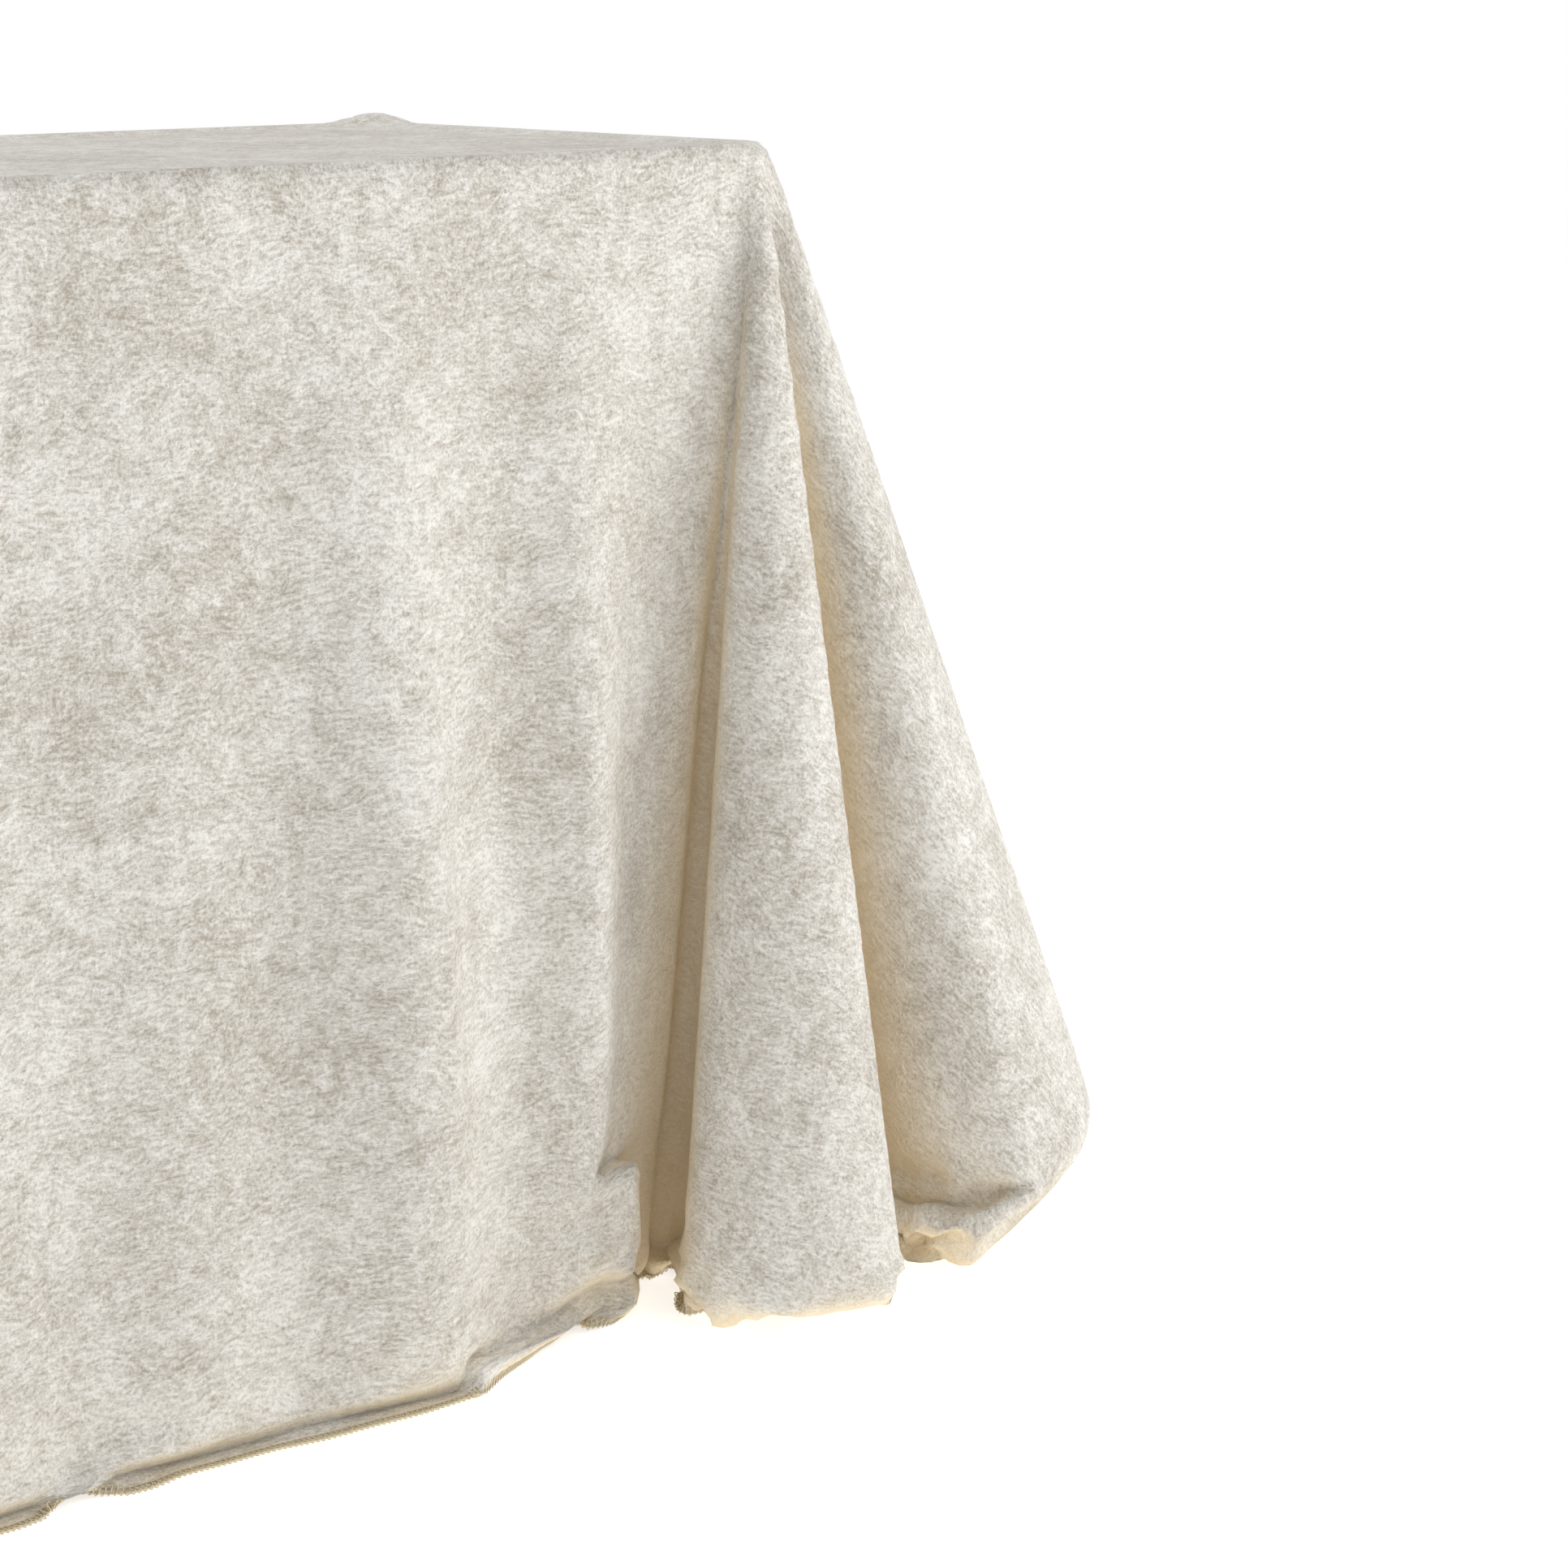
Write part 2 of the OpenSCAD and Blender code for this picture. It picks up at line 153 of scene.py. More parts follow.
class Sheet:
    """The flat sheet's mesh lines, and where each crossing hangs."""

    def __init__(self):
        self.us, self.vs = stations(TABLE_L / 2), stations(TABLE_W / 2)
        self.u, self.v = np.meshgrid(self.us, self.vs, indexing="ij")
        self.past_u = np.abs(self.u) - (TABLE_L / 2 - TABLE_CORNER_R)
        self.past_v = np.abs(self.v) - (TABLE_W / 2 - TABLE_CORNER_R)
        self.in_corner = (self.past_u > 0) & (self.past_v > 0)
        # 0 next to the long side, 1 next to the end
        self.share = np.arctan2(self.past_u.clip(0), self.past_v.clip(0)) / (math.pi / 2)
        self.fallen = np.where(
            self.in_corner,
            np.hypot(self.past_u.clip(0), self.past_v.clip(0)),
            np.maximum(self.past_u, self.past_v),
        ) - TABLE_CORNER_R
        self.fold_down = np.interp(self.share, FOLD_SHARE, FOLD_DOWN)

    def hang(self):
        """The sheet as folded by hand, before it settles."""
        u, v, down = self.u, self.v, self.fallen.clip(0)
        x, y = u.copy(), v.copy()
        z = np.full_like(u, TABLE_H + OVER_TOP)
        over_edge = OFF_EDGE * np.clip(down / 0.008, 0, 1)
        rays = corner_rays()
        first, last = rays[0] / -rays[0, 2], rays[-1] / -rays[-1, 2]
        reach = TABLE_H + OVER_TOP
        for (sx, sy), phase in CORNERS.items():
            mine = ((u * sx > 0) | ((u == 0) & (sx > 0))) & ((v * sy > 0) | ((v == 0) & (sy > 0)))
            # corner: straight rays, that drop plumb just above the floor
            c = mine & self.in_corner
            at = self.share[c] * (len(rays) - 1)
            i = np.clip(np.floor(at).astype(int), 0, len(rays) - 2)
            part = (at - i)[:, None]
            ray = rays[i] * (1 - part) + rays[i + 1] * part
            ray /= np.linalg.norm(ray, axis=1)[:, None]
            straight = np.minimum(down[c], self.fold_down[c])
            rest = down[c] - straight
            angle = self.share[c] * math.pi / 2
            base = TABLE_CORNER_R + np.minimum(self.fallen[c], 0) + over_edge[c]
            out = straight - rest * TUCK
            x[c] = sx * (TABLE_L / 2 - TABLE_CORNER_R + base * np.sin(angle) + out * ray[:, 0])
            y[c] = sy * (TABLE_W / 2 - TABLE_CORNER_R + base * np.cos(angle) + out * ray[:, 1])
            z[c] += straight * ray[:, 2] - rest
            # long side
            c = mine & (self.past_u <= 0) & (self.past_v > 0)
            q = -self.past_u[c]
            fall = down[c] / reach
            stand = side_out(q, phase, HEM_LINE)
            bulge = sum(out * np.exp(-((q - at) / 0.035) ** 2) for at, out in BULGES)
            bulge *= np.sin(np.pi * np.clip(fall, 0, 1) ** 1.3)
            y[c] = sy * (TABLE_W / 2 + np.minimum(self.fallen[c], 0) + over_edge[c] + stand * fall + bulge)
            x[c] = sx * (np.abs(u[c]) + first[0] * reach * np.clip(1 - q / 0.20, 0, 1) ** 1.5 * fall)
            z[c] -= down[c] * np.sqrt(1 - (stand / reach) ** 2)
            # end
            c = mine & (self.past_v <= 0) & (self.past_u > 0)
            q = -self.past_v[c]
            fall = down[c] / reach
            near = [(0.0, last[0] * reach), (0.06, 0.012), (0.13, 0.030), (0.20, 0.024), (0.22, 0.024)]
            stand = side_out(q, phase + 1, near)
            x[c] = sx * (TABLE_L / 2 + np.minimum(self.fallen[c], 0) + over_edge[c] + stand * fall)
            y[c] = sy * (np.abs(v[c]) + last[1] * reach * np.clip(1 - q / 0.20, 0, 1) ** 1.5 * fall)
            z[c] -= down[c] * np.sqrt(1 - (stand / reach) ** 2)
        return np.stack([x, y, z], axis=-1)

    def hold(self):
        """How firmly the settling keeps each point: fully on the top, not at all at the hem."""
        held = np.interp(self.fallen, [0, 0.018, 0.022, 0.35], [1, 1, 0.85, 0.75])
        held *= np.interp(self.fallen - self.fold_down, [-0.35, -0.02, 0.07], [1, 0.8, 0])
        side = ~self.in_corner & (self.fallen > 0.022)
        return np.where(side, np.maximum(held, 0.3), held)


def grid_faces(nu, nv):
    i = np.arange(nu * nv).reshape(nu, nv)
    corners = [i[:-1, :-1], i[1:, :-1], i[1:, 1:], i[:-1, 1:]]
    return np.column_stack([c.ravel() for c in corners])


def new_object(name, vertices, edges=(), faces=()):
    mesh = bpy.data.meshes.new(name)
    mesh.from_pydata(np.asarray(vertices).tolist(), list(edges), np.asarray(faces).tolist())
    mesh.update()
    made = bpy.data.objects.new(name, mesh)
    bpy.context.collection.objects.link(made)
    return made


def square(half):
    return [(-half, -half, 0), (half, -half, 0), (half, half, 0), (-half, half, 0)]


def obstacle(name, vertices, faces, thickness, friction):
    made = new_object(name, vertices, faces=faces)
    made.modifiers.new("collision", "COLLISION")
    made.collision.thickness_outer = thickness
    made.collision.cloth_friction = friction
    return made


def gather_walls():
    """A low wall at each corner, that keeps the spare cloth together while the floor comes up."""
    line = smooth_line(GATHER_LINE, 6)
    n = len(line)
    for sx, sy in CORNERS:
        feet = np.column_stack([sx * (TABLE_L / 2 + line[:, 0]), sy * (TABLE_W / 2 + line[:, 1])])
        rings = [np.column_stack([feet, np.full(n, z)]) for z in (-0.5, 0.09)]
        # facing the cloth, so that it is always pushed back in
        turn = sx * sy
        faces = [(i, i + 1, n + i + 1, n + i)[::turn] for i in range(n - 1)]
        yield obstacle("gather_wall", np.vstack(rings), faces, thickness=0.004, friction=3)


def settle(sheet, hung):
    """Lets the hung sheet settle on a floor that rises under it; returns the new places."""
    shape = hung.shape
    shake = np.random.default_rng(1).normal(0, 1e-4, shape)
    cloth = new_object("settling", (hung + shake).reshape(-1, 3), faces=grid_faces(*shape[:2]))
    cloth.shape_key_add(name="hung")
    flat = cloth.shape_key_add(name="flat", from_mix=False)
    flat.data.foreach_set("co", np.stack([sheet.u, sheet.v, 0 * sheet.u], axis=-1).ravel())
    flat.value = 0.0

    held = np.round(sheet.hold(), 2).ravel()
    group = cloth.vertex_groups.new(name="held")
    for level in np.unique(held[held > 0]):
        group.add([int(i) for i in np.flatnonzero(held == level)], float(level), "REPLACE")

    floor = obstacle("rising_floor", square(3.0), [(0, 1, 2, 3)], thickness=0.002, friction=20)
    for at, z in ((0, FLOOR_START), (3, FLOOR_START), (FLOOR_UP, 0.0)):
        floor.location.z = z
        floor.keyframe_insert("location", frame=at)
    for curve in floor.animation_data.action.fcurves:
        for key in curve.keyframe_points:
            key.interpolation = "LINEAR"
    helpers = [cloth, floor, *gather_walls()]

    modifier = cloth.modifiers.new("settling", "CLOTH")
    weave, touch = modifier.settings, modifier.collision_settings
    weave.quality = 6
    weave.mass = 0.1
    weave.air_damping = 1.0
    weave.tension_stiffness = weave.compression_stiffness = 60
    weave.shear_stiffness = 15
    weave.bending_stiffness = 0.4
    weave.tension_damping = weave.compression_damping = weave.shear_damping = 5
    weave.bending_damping = 0.5
    weave.rest_shape_key = flat
    weave.vertex_group_mass = "held"
    weave.pin_stiffness = 8
    touch.collision_quality = 3
    touch.distance_min = 0.002
    touch.use_self_collision = True
    touch.self_distance_min = 0.004
    touch.self_friction = 5
    modifier.point_cache.frame_start = 1
    modifier.point_cache.frame_end = FALL_FRAMES
    scene.frame_start, scene.frame_end = 1, FALL_FRAMES
    for at in range(1, FALL_FRAMES + 1):
        scene.frame_set(at)
    settled = cloth.evaluated_get(bpy.context.evaluated_depsgraph_get()).to_mesh()
    places = np.empty(hung.size)
    settled.vertices.foreach_get("co", places)
    scene.frame_set(1)
    for helper in helpers:
        mesh = helper.data
        bpy.data.objects.remove(helper)
        bpy.data.meshes.remove(mesh)
    return places.reshape(shape)


def refine(grid):
    """Puts a new mesh line midway between each two, on a smooth curve through the old ones."""
    for axis in (0, 1):
        g = np.moveaxis(grid, axis, 0)
        padded = np.concatenate([2 * g[:1] - g[1:2], g, 2 * g[-1:] - g[-2:-1]])
        middle = (9 * (padded[1:-2] + padded[2:-1]) - padded[:-3] - padded[3:]) / 16
        both = np.empty((2 * len(g) - 1, *g.shape[1:]))
        both[::2], both[1::2] = g, middle
        grid = np.moveaxis(both, 0, axis)
    return grid


def clear_of_table(grid, gap):
    """Pushes the sheet out of the table's edge moulding, to a rounded fold of that gap."""
    x, y, z = np.moveaxis(grid, -1, 0)
    half = np.array([TABLE_L / 2, TABLE_W / 2]) - TABLE_CORNER_R
    past = np.stack([np.abs(x) - half[0], np.abs(y) - half[1]], axis=-1)
    outward = past.clip(0)
    beyond = np.linalg.norm(outward, axis=-1)
    side = beyond - TABLE_CORNER_R
    away = np.concatenate([
        outward / (beyond[..., None] + 1e-9) * np.sign(grid[..., :2]) * side.clip(0)[..., None],
        (z - TABLE_H).clip(0)[..., None]], axis=-1)
    distance = np.linalg.norm(away, axis=-1)
    near = (z > TABLE_H - 0.03) & (side > -0.02) & (distance < gap)
    lean = np.where((side > 0)[..., None], away, np.array([0, 0, 1.0]))
    lean /= np.linalg.norm(lean, axis=-1)[..., None] + 1e-9
    return grid + np.where(near, gap - distance, 0)[..., None] * lean


def tuck_in(grid):
    """Draws in any lobe that strays far to the front or back."""
    near, give = TABLE_W / 2 + 0.145, 0.035
    y = grid[..., 1]
    past = (np.abs(y) - near).clip(0)
    grid[..., 1] = np.where(past > 0, np.sign(y) * (near + give * np.tanh(past / give)), y)
    return grid


def far_corner_peak(grid, sheet):
    """The small peak where the cloth is pinched up at the far corner of the top."""
    du = sheet.u - (TABLE_L / 2 - 0.012)
    dv = sheet.v - (TABLE_W / 2 - 0.012)
    along, across = (du - dv) / math.sqrt(2), (du + dv) / math.sqrt(2)
    height, half_length, half_width = 0.010, 0.026, 0.014
    grid[..., 2] += height * np.exp(-(along / half_length) ** 2 - (across / half_width) ** 2)
    return grid


# ---- materials ----

def linear(code):
    """Linear RGBA of an sRGB hex colour."""
    parts = [int(code[i:i + 2], 16) / 255 for i in (1, 3, 5)]
    return tuple(c / 12.92 if c <= 0.04045 else ((c + 0.055) / 1.055) ** 2.4 for c in parts) + (1.0,)


def add(tree, kind, sockets=None, **settings):
    """Adds a node. Each socket gets a value, or (node, output) to link from."""
    made = tree.nodes.new(kind)
    for name, value in settings.items():
        setattr(made, name, value)
    for key, value in (sockets or {}).items():
        if isinstance(value, tuple) and isinstance(value[0], bpy.types.Node):
            tree.links.new(value[0].outputs[value[1]], made.inputs[key])
        else:
            made.inputs[key].default_value = value
    return made


def new_material(name, **constants):
    """A material with a Principled shader; constants set the shader's own sockets."""
    material = bpy.data.materials.new(name)
    material.use_nodes = True
    tree = material.node_tree
    shader = tree.nodes["Principled BSDF"]
    for socket, value in constants.items():
        shader.inputs[socket.replace("_", " ")].default_value = value
    return material, tree, shader


def crushed_velvet():
    """Polyester velvet whose pile is pressed flat in random patches.

    Gives soft streaky mottling: each patch turns its pile another way and so looks lighter or darker, with a
    pale sheen over a warm ground.
    Deep folds get painted bounce light: a warmer, lighter colour put into the base colour."""
    material, tree, shader = new_material(
        "crushed_velvet", Roughness=0.62, IOR=1.46, Sheen_Weight=0.35, Sheen_Roughness=0.45,
        Sheen_Tint=linear("#FFFDF8"), Specular_IOR_Level=0.25)
    sheet = add(tree, "ShaderNodeUVMap", uv_map="sheet")  # metres on the flat sheet
    wander = add(tree, "ShaderNodeTexNoise", {"Vector": (sheet, "UV"), "Scale": 1 / 0.06, "Detail": 2.0})
    bent = add(tree, "ShaderNodeVectorMath",
               {0: (wander, "Color"), 1: (0.030, 0.030, 0.0), 2: (sheet, "UV")}, operation="MULTIPLY_ADD")
    clouds = add(tree, "ShaderNodeTexNoise", {"Vector": (bent, "Vector"), "Scale": 1 / 0.11, "Detail": 2.0})
    patches = add(tree, "ShaderNodeTexNoise",
                  {"Vector": (bent, "Vector"), "Scale": 1 / 0.020, "Detail": 4.0, "Roughness": 0.7})
    # streaks run along the sheet: 7 mm long, 3 mm wide
    stretched = add(tree, "ShaderNodeMapping",
                    {"Vector": (bent, "Vector"), "Scale": (1 / 0.007, 1 / 0.003, 1.0)})
    streaks = add(tree, "ShaderNodeTexNoise",
                  {"Vector": (stretched, "Vector"), "Scale": 1.0, "Detail": 3.0, "Roughness": 0.65})
    # tufts of pile: really under 1 mm, drawn at 2.2 mm so that they show
    tufts = add(tree, "ShaderNodeTexNoise",
                {"Vector": (sheet, "UV"), "Scale": 1 / 0.0022, "Detail": 3.0, "Roughness": 0.7})
    lay = add(tree, "ShaderNodeMath", {0: (patches, 0), 1: 0.5, 2: 0.0}, operation="MULTIPLY_ADD")
    for layer, amount in ((streaks, 0.7), (tufts, 0.7), (clouds, 0.3)):
        lay = add(tree, "ShaderNodeMath", {0: (layer, 0), 1: amount, 2: (lay, 0)}, operation="MULTIPLY_ADD")
    pile = add(tree, "ShaderNodeMapRange",
               {"Value": (lay, 0), "From Min": 0.90, "From Max": 1.26})
    tone = add(tree, "ShaderNodeMix", {"Factor": (pile, 0), 6: linear("#B7AEA0"), 7: linear("#F9F6EF")},
               data_type="RGBA")
    # painted bounce light: deep folds, where light bounces about, get a warmer, lighter colour painted into
    # the base colour
    painted_bounce_occlusion = add(tree, "ShaderNodeAmbientOcclusion", {"Distance": 0.16}, samples=6)
    painted_bounce_mask = add(tree, "ShaderNodeMapRange", {"Value": (painted_bounce_occlusion, "AO"), "From Min": 0.05, "From Max": 0.5})
    painted_bounce_tone = add(tree, "ShaderNodeMix",
                 {"Factor": (painted_bounce_mask, 0), 6: linear("#FFEBC4"), 7: (tone, 2)}, data_type="RGBA")
    gloss = add(tree, "ShaderNodeMapRange", {"Value": (pile, 0), "To Min": 0.75, "To Max": 0.5})
    relief = add(tree, "ShaderNodeBump", {"Height": (lay, 0), "Strength": 0.8, "Distance": 0.0032})
    # the base colour carries the painted bounce light of the deep folds
    tree.links.new(painted_bounce_tone.outputs[2], shader.inputs["Base Color"])
    tree.links.new(gloss.outputs[0], shader.inputs["Roughness"])
    tree.links.new(relief.outputs["Normal"], shader.inputs["Normal"])
    return material


def overlock_thread():
    """Spun polyester sewing thread, tan, matte, with the twist of its two plies."""
    material, tree, shader = new_material("spun_polyester_thread", Roughness=0.8, Sheen_Weight=0.3)
    place = add(tree, "ShaderNodeTexCoord")
    plies = add(tree, "ShaderNodeTexWave",
                {"Vector": (place, "Object"), "Scale": 1 / 0.0012, "Distortion": 2.0})
    tone = add(tree, "ShaderNodeMix", {"Factor": (plies, 1), 6: linear("#CDBB94"), 7: linear("#E9DDBF")},
               data_type="RGBA")
    relief = add(tree, "ShaderNodeBump", {"Height": (plies, 1), "Strength": 0.3, "Distance": 0.0002})
    tree.links.new(tone.outputs[2], shader.inputs["Base Color"])
    tree.links.new(relief.outputs["Normal"], shader.inputs["Normal"])
    return material


def grained(name, dark, light, grain, relief_depth, stretch=(1, 1, 1), **constants):
    """A surface with one grain of two tones: grain is its size in metres along Y and Z."""
    material, tree, shader = new_material(name, **constants)
    place = add(tree, "ShaderNodeTexCoord")
    laid = add(tree, "ShaderNodeMapping", {"Vector": (place, "Object"), "Scale": stretch})
    noise = add(tree, "ShaderNodeTexNoise", {"Vector": (laid, "Vector"), "Scale": 1 / grain, "Detail": 4.0})
    tone = add(tree, "ShaderNodeMapRange", {"Value": (noise, 0), "From Min": 0.35, "From Max": 0.65})
    mixed = add(tree, "ShaderNodeMix", {"Factor": (tone, 0), 6: linear(dark), 7: linear(light)},
                data_type="RGBA")
    relief = add(tree, "ShaderNodeBump", {"Height": (noise, 0), "Strength": 0.5, "Distance": relief_depth})
    tree.links.new(mixed.outputs[2], shader.inputs["Base Color"])
    tree.links.new(relief.outputs["Normal"], shader.inputs["Normal"])
    return material


def table_finishes():
    return {
        # sanded birch plywood: long pale grain lines along the board
        "plywood": grained("birch_plywood", "#B48A58", "#D9BD8E", 0.006, 0.0003, (0.06, 1, 1), Roughness=0.6),
        # high-pressure laminate: hard grey skin with a fine pebble
        "laminate": grained("pebbled_laminate", "#A9A6A0", "#BDBAB4", 0.0012, 0.00005,
                            Roughness=0.35, IOR=1.52),
        # extruded vinyl edging: dull dark band with a faint haze
        "vinyl_edging": grained("extruded_vinyl", "#3E3B38", "#4E4A46", 0.004, 0.00008,
                                Roughness=0.48, IOR=1.54),
        # powder coat on steel tube: orange-peel surface
        "painted_tube": grained("grey_powder_coat", "#505357", "#63666B", 0.0022, 0.00012, Roughness=0.42,
                                Coat_Weight=0.2),
        # bright zinc plating on steel: cloudy soft metal
        "zinc_steel": grained("zinc_plated_steel", "#A4A8AB", "#C6C9CA", 0.009, 0.00003, Metallic=1.0,
                              Roughness=0.34),
        # moulded black rubber: dull with fine bloom
        "rubber": grained("moulded_rubber", "#191919", "#2B2A29", 0.003, 0.0001, Roughness=0.85),
    }


# ---- overlock stitching ----

def stitching_tree(thread):
    """Geometry Nodes: an overlock stitch at every pitch along a hem, and the chain on the raw edge.

    The hem's points carry cloth_normal, which faces out of the cloth's good side."""
    tree = bpy.data.node_groups.new("overlock_stitching", "GeometryNodeTree")
    tree.interface.new_socket("Hem", in_out="INPUT", socket_type="NodeSocketGeometry")
    for name in ("Stitch pitch", "Stitch depth", "Stitch height", "Thread radius"):
        tree.interface.new_socket(name, in_out="INPUT", socket_type="NodeSocketFloat")
    tree.interface.new_socket("Stitches", in_out="OUTPUT", socket_type="NodeSocketGeometry")
    given = add(tree, "NodeGroupInput")
    hem = add(tree, "GeometryNodeMeshToCurve", {"Mesh": (given, "Hem")})
    thread_round = add(tree, "GeometryNodeCurvePrimitiveCircle",
                       {"Resolution": 3, "Radius": (given, "Thread radius")})
    # one stitch in units of pitch, depth and height: a loop over the edge on each side of the cloth
    size = add(tree, "ShaderNodeCombineXYZ",
               {"X": (given, "Stitch pitch"), "Y": (given, "Stitch depth"), "Z": (given, "Stitch height")})
    loops = add(tree, "GeometryNodeJoinGeometry")
    for side in (1, -1):
        loop = add(tree, "GeometryNodeCurvePrimitiveBezierSegment",
                   {"Resolution": 4, "Start": (0.0, 1.0, 0.3 * side), "Start Handle": (0.1, -0.65, 1.2 * side),
                    "End Handle": (0.9, -0.65, 1.2 * side), "End": (1.0, 1.0, 0.3 * side)}, mode="POSITION")
        tree.links.new(loop.outputs["Curve"], loops.inputs[0])
    needle_line = add(tree, "GeometryNodeCurvePrimitiveLine",
                      {"Start": (0.0, 1.0, 0.4), "End": (0.85, 1.0, 0.4)})
    tree.links.new(needle_line.outputs["Curve"], loops.inputs[0])
    sized = add(tree, "GeometryNodeTransform", {"Geometry": (loops, 0), "Scale": (size, "Vector")})
    stitch = add(tree, "GeometryNodeCurveToMesh", {"Curve": (sized, 0), "Profile Curve": (thread_round, 0)})
    places = add(tree, "GeometryNodeCurveToPoints", {"Curve": (hem, 0), "Length": (given, "Stitch pitch")},
                 mode="LENGTH")
    facing = add(tree, "GeometryNodeInputNamedAttribute", {"Name": "cloth_normal"}, data_type="FLOAT_VECTOR")
    turned = add(tree, "FunctionNodeAxesToRotation",
                 {0: (facing, 0), 1: (places, "Tangent")}, primary_axis="Z", secondary_axis="X")
    row = add(tree, "GeometryNodeInstanceOnPoints",
              {"Points": (places, "Points"), "Instance": (stitch, 0), "Rotation": (turned, 0)})
    # the chain of crossed threads that covers the raw edge
    even = add(tree, "GeometryNodeResampleCurve", {"Curve": (hem, 0), "Length": 0.008}, mode="LENGTH")
    chain_size = add(tree, "ShaderNodeMath", {0: (given, "Thread radius"), 1: 1.6}, operation="MULTIPLY")
    chain_round = add(tree, "GeometryNodeCurvePrimitiveCircle", {"Resolution": 4, "Radius": (chain_size, 0)})
    chain = add(tree, "GeometryNodeCurveToMesh", {"Curve": (even, 0), "Profile Curve": (chain_round, 0)})
    both = add(tree, "GeometryNodeJoinGeometry")
    tree.links.new(row.outputs[0], both.inputs[0])
    tree.links.new(chain.outputs[0], both.inputs[0])
    real = add(tree, "GeometryNodeRealizeInstances", {0: (both, 0)})
    painted = add(tree, "GeometryNodeSetMaterial", {"Geometry": (real, 0), "Material": thread})
    done = add(tree, "NodeGroupOutput")
    tree.links.new(painted.outputs[0], done.inputs[0])
    return tree


def hem_ring(grid):
    """The border of the sheet in order, anticlockwise from above, with the cloth's normal at each point."""
    across = np.gradient(grid, axis=0), np.gradient(grid, axis=1)
    normal = np.cross(*across)
    normal /= np.linalg.norm(normal, axis=-1)[..., None] + 1e-12

    def border(g):
        return np.concatenate([g[:-1, 0], g[-1, :-1], g[:0:-1, -1], g[0, :0:-1]])

    return border(grid), border(normal)


def sew_overlock(grid, thread):
    ring, normals = hem_ring(grid)
    n = len(ring)
    hem = new_object("hem_guide", ring, [(i, (i + 1) % n) for i in range(n)])
    facing = hem.data.attributes.new("cloth_normal", "FLOAT_VECTOR", "POINT")
    facing.data.foreach_set("vector", normals.ravel())
    tree = stitching_tree(thread)
    modifier = hem.modifiers.new("overlock", "NODES")
    modifier.node_group = tree
    sizes = {"Stitch pitch": 0.0036, "Stitch depth": 0.0048, "Stitch height": 0.0011, "Thread radius": 0.00042}
    for socket in tree.interface.items_tree:
        if socket.name in sizes:
            modifier[socket.identifier] = sizes[socket.name]
    shape = hem.evaluated_get(bpy.context.evaluated_depsgraph_get())
    mesh = bpy.data.meshes.new_from_object(shape)
    mesh.name = "overlock_edge"
    sewn = bpy.data.objects.new("overlock_edge", mesh)
    bpy.context.collection.objects.link(sewn)
    guide = hem.data
    bpy.data.objects.remove(hem)
    bpy.data.meshes.remove(guide)
    return sewn


# ---- the tablecloth ----

def keep_above_floor(made, lowest):
    places = np.empty(3 * len(made.data.vertices))
    made.data.vertices.foreach_get("co", places)
    places = places.reshape(-1, 3)
    places[:, 2] = np.maximum(places[:, 2], lowest)
    made.data.vertices.foreach_set("co", places.ravel())
    made.data.update()


sheet = Sheet()
drape = sheet.hang()
drape = settle(sheet, drape)
drape = refine(far_corner_peak(tuck_in(drape), sheet))
drape = clear_of_table(drape, EDGE_GAP)
drape[..., 2] = np.maximum(drape[..., 2], HEM_LIFT)
flat = refine(np.stack([sheet.u, sheet.v], axis=-1)).reshape(-1, 2)

tablecloth = new_object("draped_tablecloth", drape.reshape(-1, 3), faces=grid_faces(*drape.shape[:2]))
tablecloth.data.polygons.foreach_set("use_smooth", [True] * len(tablecloth.data.polygons))
uv = tablecloth.data.uv_layers.new(name="sheet")
corner_vertex = np.empty(len(tablecloth.data.loops), int)
tablecloth.data.loops.foreach_get("vertex_index", corner_vertex)
uv.data.foreach_set("uv", flat[corner_vertex].ravel())
tablecloth.data.materials.append(crushed_velvet())

overlock = sew_overlock(drape, overlock_thread())
overlock.data.polygons.foreach_set("use_smooth", [True] * len(overlock.data.polygons))
keep_above_floor(overlock, lowest=0.0)

finishes = table_finishes()
for part in frame["record"]["subparts"]:
    finish = finishes.get(part["material_slot"])
    if finish:
        for slot in frame["nodes"][part["node"]].material_slots:
            slot.material = finish

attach(tablecloth, "table")
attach(overlock, "table")
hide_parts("tablecloth")
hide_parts("overlock_thread")


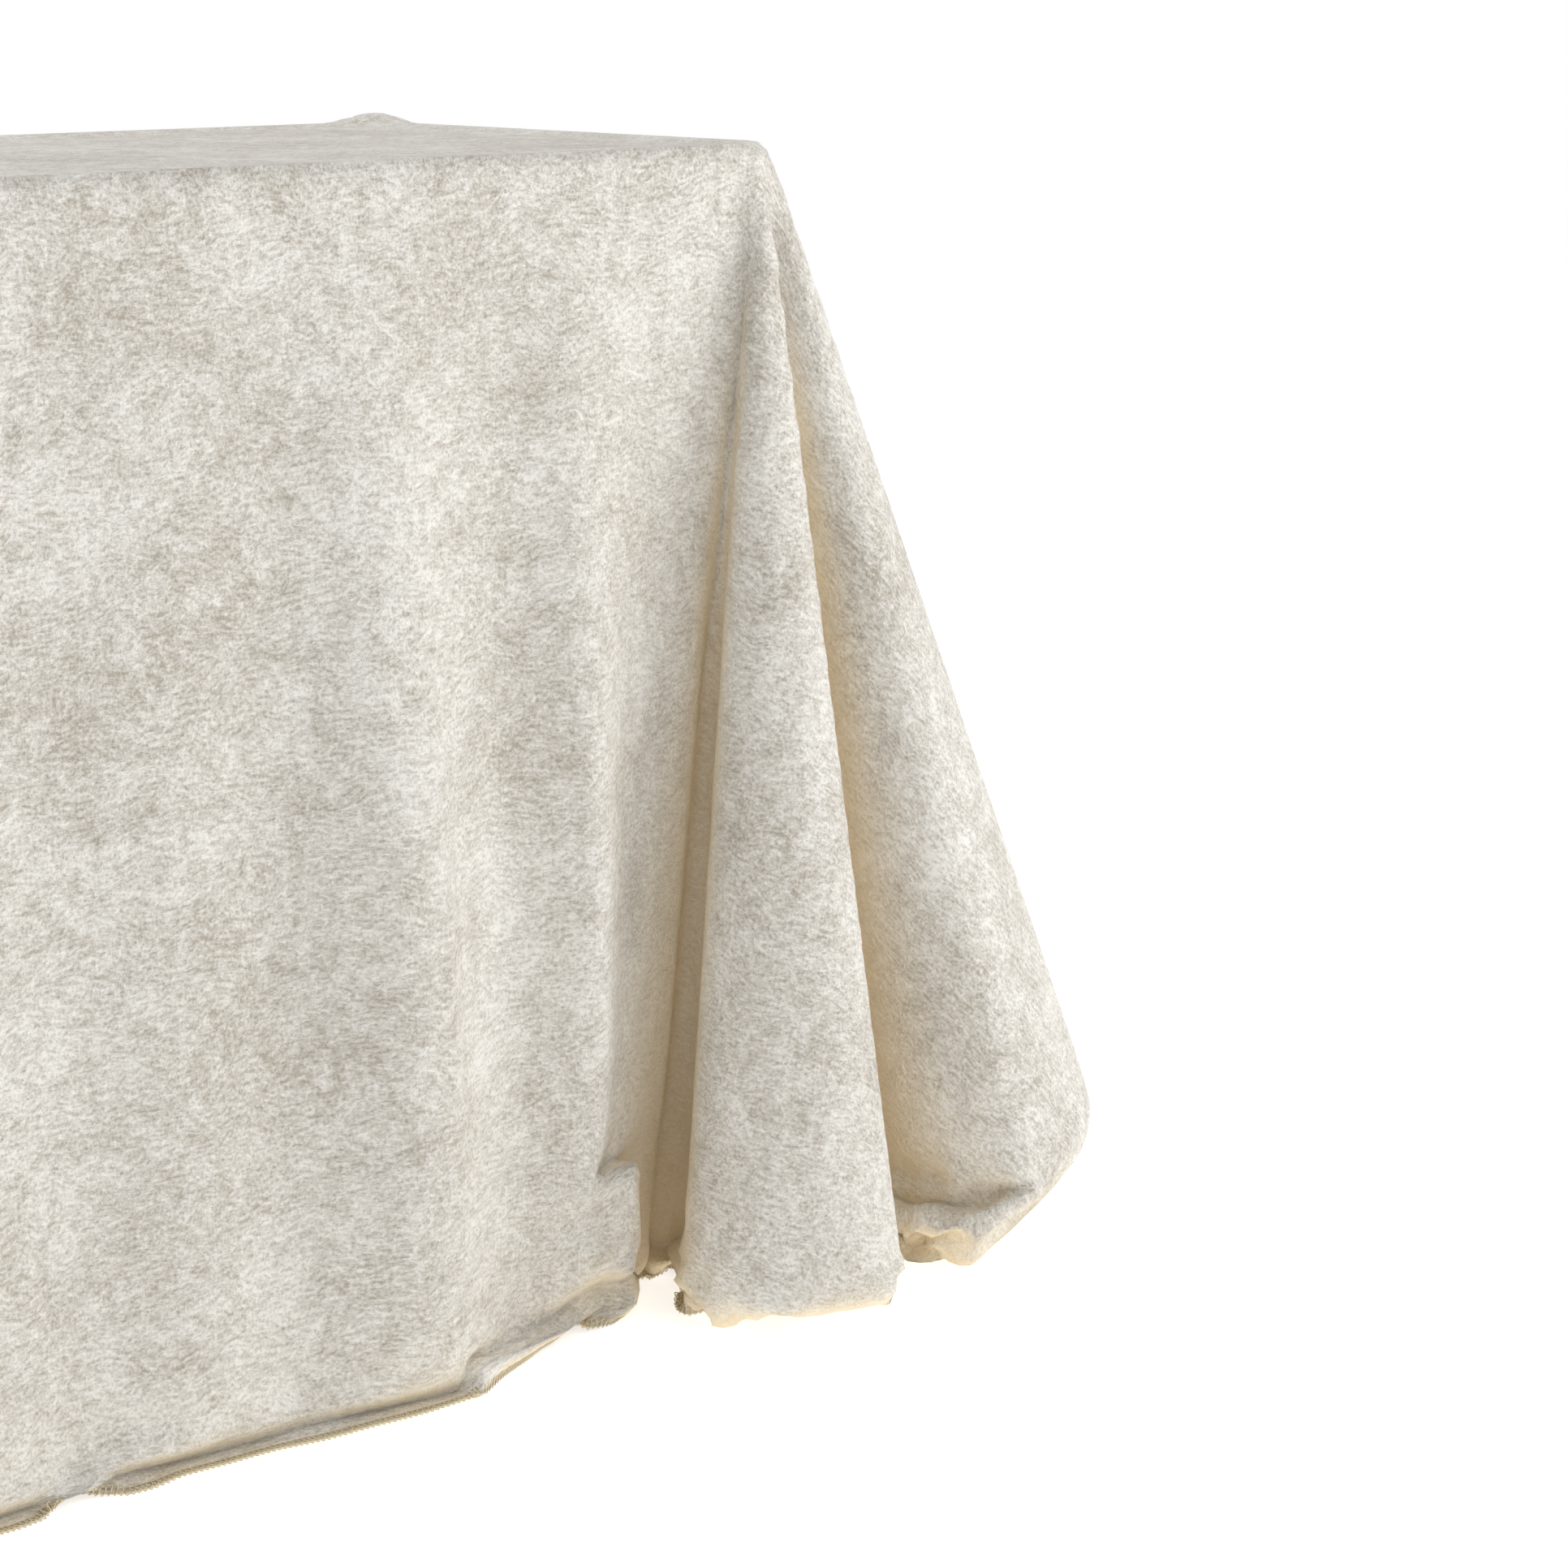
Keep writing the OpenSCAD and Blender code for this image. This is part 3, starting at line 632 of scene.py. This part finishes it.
# ---- studio ----

def soft_light(name, place, aim, size, watts):
    lamp = bpy.data.lights.new(name, "AREA")
    lamp.shape = "DISK"
    lamp.size = size
    lamp.energy = watts
    made = bpy.data.objects.new(name, lamp)
    bpy.context.collection.objects.link(made)
    made.location = place
    made.rotation_euler = (Vector(aim) - Vector(place)).to_track_quat("-Z", "Y").to_euler()


studio = bpy.data.worlds.new("studio")
studio.use_nodes = True
# the backdrop is white to the eye, and lights the cloth more softly than it looks
seen = add(studio.node_tree, "ShaderNodeLightPath")
strength = add(studio.node_tree, "ShaderNodeMapRange",
               {"Value": (seen, "Is Camera Ray"), "To Min": 0.42, "To Max": 1.0})
backdrop = studio.node_tree.nodes["Background"]
backdrop.inputs["Color"].default_value = (1, 1, 1, 1)
studio.node_tree.links.new(strength.outputs[0], backdrop.inputs["Strength"])
scene.world = studio
scene.view_settings.view_transform = "Standard"

soft_light("window_right", (2.8, -1.3, 1.2), (1.0, -0.3, 0.35), 1.4, 26)
soft_light("skylight_front", (1.0, -1.6, 3.0), (0.9, -0.3, 0.4), 2.4, 18)
soft_light("skylight_behind", (0.8, 2.4, 3.0), (0.5, 0.0, 0.7), 2.0, 50)

floor = new_object("floor", square(14.0), faces=[(0, 1, 2, 3)])
pale, *_ = new_material("pale_floor", Roughness=0.9, Base_Color=(0.9, 0.9, 0.9, 1),
                        Emission_Color=(1, 1, 1, 1), Emission_Strength=0.62)
floor.data.materials.append(pale)

eye = bpy.data.cameras.new("camera")
eye.sensor_width = 36.0
eye.lens = 80.12
camera = bpy.data.objects.new("camera", eye)
bpy.context.collection.objects.link(camera)
turn, tilt, lean = math.radians(39.44), math.radians(13.10), math.radians(-0.345)
ahead = Vector((math.sin(turn) * math.cos(tilt), math.cos(turn) * math.cos(tilt), -math.sin(tilt)))
camera.location = (-0.493, -1.939, 0.850)
camera.rotation_euler = (ahead.to_track_quat("-Z", "Y").to_matrix() @ Matrix.Rotation(lean, 3, "Z")).to_euler()
scene.camera = camera
